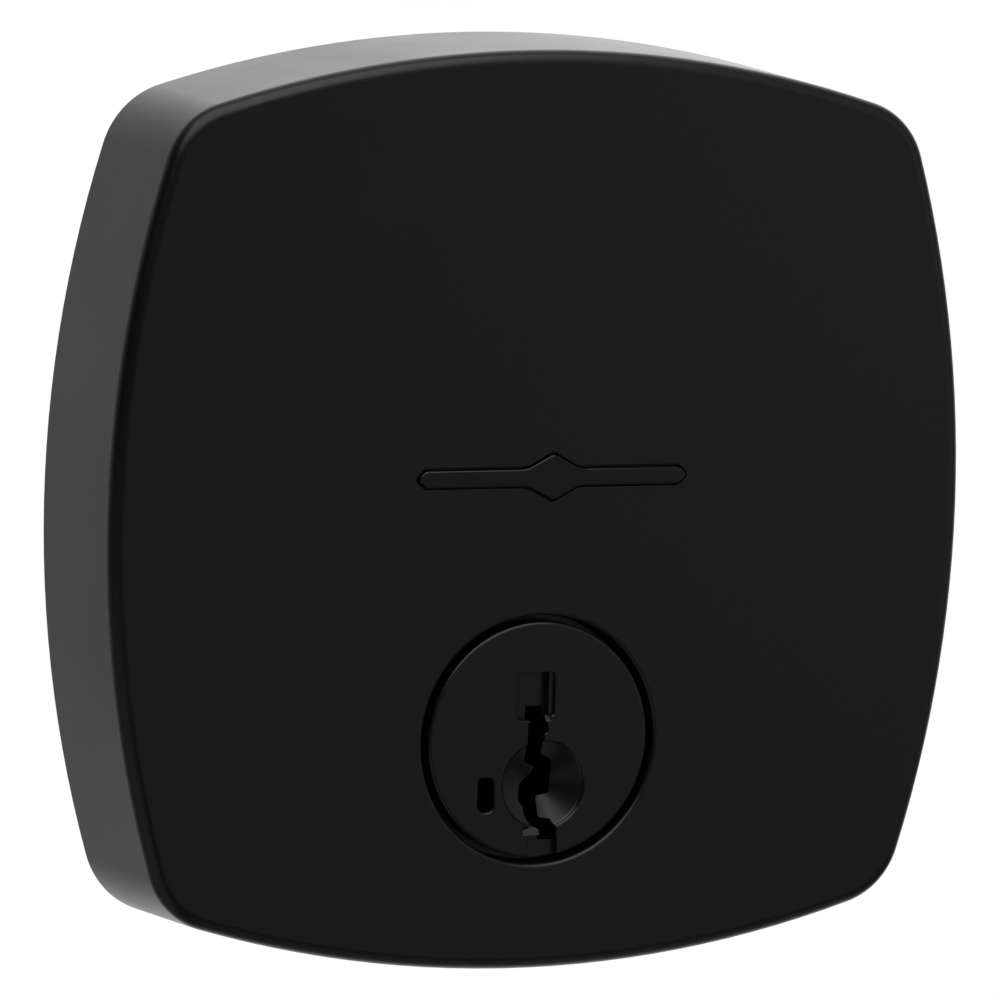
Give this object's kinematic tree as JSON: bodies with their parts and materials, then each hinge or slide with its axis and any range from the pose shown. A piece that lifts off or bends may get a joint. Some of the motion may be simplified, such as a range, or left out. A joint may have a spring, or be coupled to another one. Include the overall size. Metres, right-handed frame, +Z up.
{
  "type": "deadbolt door lock",
  "caption": "Outside half of a low-profile deadbolt lock: bowed square black cover, key plug below the middle, gear train, torque blade and threaded mounting posts.",
  "frame": {"origin": "centre of the door-side rim's plane, on the torque blade's axis, which is the centre of the door's cross bore", "axes": "+Y into the door along the torque blade, the lock's face looks along -Y, +X to the right seen from outside, +Z up"},
  "size_m": [0.0676, 0.0747, 0.0676],
  "materials": {
    "black_coat": "satin",
    "gloss_black": "gloss",
    "plated_steel": "satin",
    "gear_steel": "satin",
    "hard_steel": "gloss",
    "zinc": "matte",
    "brass": "satin",
    "black_nylon": "matte",
    "rubber": "matte"
  },
  "bodies": {
    "lock_body": {"front_cover": "black_coat", "emblem": "gloss_black", "back_plate": "plated_steel", "door_gasket": "rubber", "gear_case": "black_nylon", "gear_cover": "plated_steel", "blade_cap": "black_nylon", "idler_axle": "gear_steel", "mounting_post_left": "plated_steel", "mounting_post_right": "plated_steel", "cover_screw_1": "hard_steel", "cover_screw_2": "hard_steel", "cover_screw_3": "hard_steel", "cover_screw_4": "hard_steel", "cylinder_screw_left": "hard_steel", "cylinder_screw_right": "hard_steel", "case_screw_1": "hard_steel", "case_screw_2": "hard_steel", "case_screw_3": "hard_steel", "case_screw_4": "hard_steel", "cylinder_housing": "zinc"},
    "plug": {"plug": "black_coat", "plug_gear": "gear_steel", "plug_gear_screw": "hard_steel", "pin_spring_cover": "brass", "anti_drill_pin_left": "hard_steel", "anti_drill_pin_right": "hard_steel", "carrier_spring": "plated_steel", "pin_spring_1": "plated_steel", "pin_spring_2": "plated_steel", "pin_spring_3": "plated_steel", "pin_spring_4": "plated_steel", "pin_spring_5": "plated_steel"},
    "carrier": {"carrier": "zinc", "sidebar_spring_1": "plated_steel", "sidebar_spring_2": "plated_steel"},
    "sidebar": {"sidebar": "brass"},
    "key_pin_1": {"key_pin_1": "brass"},
    "key_pin_2": {"key_pin_2": "brass"},
    "key_pin_3": {"key_pin_3": "brass"},
    "key_pin_4": {"key_pin_4": "brass"},
    "key_pin_5": {"key_pin_5": "brass"},
    "rack_1": {"rack_1": "hard_steel"},
    "rack_2": {"rack_2": "hard_steel"},
    "rack_3": {"rack_3": "hard_steel"},
    "rack_4": {"rack_4": "hard_steel"},
    "rack_5": {"rack_5": "hard_steel"},
    "idler_gear": {"idler_gear": "gear_steel"},
    "spindle_gear": {"spindle_gear": "gear_steel"},
    "torque_blade": {"torque_blade": "plated_steel"}
  },
  "joints": [
    {"name": "plug_turn", "type": "hinge", "parent": "lock_body", "child": "plug", "pos_m": [0, 0, -0.0165], "axis": [0, 1, 0], "range_deg": [-90, 90]},
    {"name": "idler_spin", "type": "hinge", "parent": "lock_body", "child": "idler_gear", "pos_m": [0, 0, -0.00825], "axis": [0, 1, 0], "range_deg": [-108, 108]},
    {"name": "spindle_turn", "type": "hinge", "parent": "lock_body", "child": "spindle_gear", "pos_m": [0, 0, 0], "axis": [0, 1, 0], "range_deg": [-90, 90]},
    {"name": "blade_play", "type": "hinge", "parent": "spindle_gear", "child": "torque_blade", "pos_m": [0, 0, 0], "axis": [0, 1, 0], "range_deg": [-45, 45]},
    {"name": "carrier_slide", "type": "slide", "parent": "plug", "child": "carrier", "axis": [0, 1, 0], "range_m": [0, 0.00175], "stiffness_N_per_m": 300, "springref_m": -0.002, "deforming": ["carrier_spring"]},
    {"name": "sidebar_slide", "type": "slide", "parent": "plug", "child": "sidebar", "axis": [-1, 0, 0], "range_m": [0, 0.0009], "stiffness_N_per_m": 100, "springref_m": 0.0015, "deforming": ["sidebar_spring_1", "sidebar_spring_2"]},
    {"name": "key_pin_1_lift", "type": "slide", "parent": "plug", "child": "key_pin_1", "axis": [0, 0, 1], "range_m": [0, 0.0029], "stiffness_N_per_m": 80, "springref_m": -0.003, "deforming": ["pin_spring_1"]},
    {"name": "key_pin_2_lift", "type": "slide", "parent": "plug", "child": "key_pin_2", "axis": [0, 0, 1], "range_m": [0, 0.0029], "stiffness_N_per_m": 80, "springref_m": -0.003, "deforming": ["pin_spring_2"]},
    {"name": "key_pin_3_lift", "type": "slide", "parent": "plug", "child": "key_pin_3", "axis": [0, 0, 1], "range_m": [0, 0.0029], "stiffness_N_per_m": 80, "springref_m": -0.003, "deforming": ["pin_spring_3"]},
    {"name": "key_pin_4_lift", "type": "slide", "parent": "plug", "child": "key_pin_4", "axis": [0, 0, 1], "range_m": [0, 0.0029], "stiffness_N_per_m": 80, "springref_m": -0.003, "deforming": ["pin_spring_4"]},
    {"name": "key_pin_5_lift", "type": "slide", "parent": "plug", "child": "key_pin_5", "axis": [0, 0, 1], "range_m": [0, 0.0029], "stiffness_N_per_m": 80, "springref_m": -0.003, "deforming": ["pin_spring_5"]},
    {"name": "rack_1_lift", "type": "slide", "parent": "carrier", "child": "rack_1", "axis": [0, 0, 1], "range_m": [0, 0.0029]},
    {"name": "rack_2_lift", "type": "slide", "parent": "carrier", "child": "rack_2", "axis": [0, 0, 1], "range_m": [0, 0.0029]},
    {"name": "rack_3_lift", "type": "slide", "parent": "carrier", "child": "rack_3", "axis": [0, 0, 1], "range_m": [0, 0.0029]},
    {"name": "rack_4_lift", "type": "slide", "parent": "carrier", "child": "rack_4", "axis": [0, 0, 1], "range_m": [0, 0.0029]},
    {"name": "rack_5_lift", "type": "slide", "parent": "carrier", "child": "rack_5", "axis": [0, 0, 1], "range_m": [0, 0.0029]}
  ],
  "couplings": [
    {"joint": "idler_spin", "follows": "plug_turn", "ratio": -1.2},
    {"joint": "spindle_turn", "follows": "plug_turn", "ratio": 1},
    {"joint": "rack_1_lift", "follows": "key_pin_1_lift", "ratio": 1},
    {"joint": "rack_2_lift", "follows": "key_pin_2_lift", "ratio": 1},
    {"joint": "rack_3_lift", "follows": "key_pin_3_lift", "ratio": 1},
    {"joint": "rack_4_lift", "follows": "key_pin_4_lift", "ratio": 1},
    {"joint": "rack_5_lift", "follows": "key_pin_5_lift", "ratio": 1}
  ]
}
